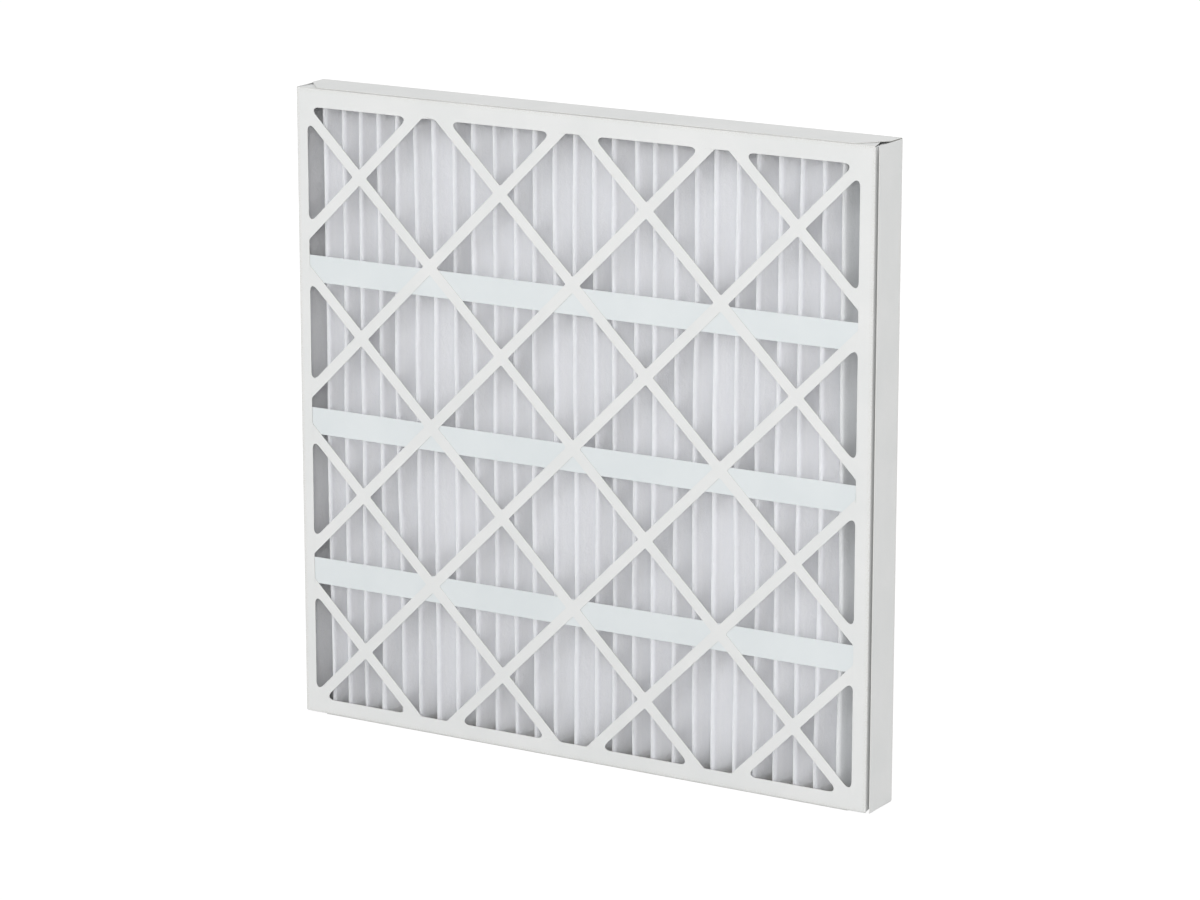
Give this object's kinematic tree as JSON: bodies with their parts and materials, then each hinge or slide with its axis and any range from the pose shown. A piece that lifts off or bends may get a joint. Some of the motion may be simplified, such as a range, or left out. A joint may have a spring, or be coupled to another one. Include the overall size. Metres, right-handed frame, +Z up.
{
  "type": "pleated panel air filter",
  "caption": "Square panel air filter: a vertically pleated media pack in a folded board frame with a diamond lattice on both faces and horizontal straps across the fold tips.",
  "frame": {"origin": "centre of the footprint, on the surface that the filter's bottom edge stands on", "axes": "+Z up along the pleats, +X across the face, +Y from the front face (the one with the straps) to the rear face"},
  "size_m": [0.594, 0.0446, 0.594],
  "materials": {
    "frame_board": "matte white-faced moisture-resistant board",
    "strap_board": "matte pale board",
    "filter_media": "white nonwoven fibre web",
    "adhesive": "hot-melt adhesive"
  },
  "bodies": {
    "root": {"front_tray": "frame_board", "rear_tray": "frame_board", "media_pack": "filter_media", "strap_top": "strap_board", "strap_middle": "strap_board", "strap_bottom": "strap_board", "glue_bead_top": "adhesive", "glue_bead_bottom": "adhesive", "glue_bead_left": "adhesive", "glue_bead_right": "adhesive"}
  },
  "joints": []
}
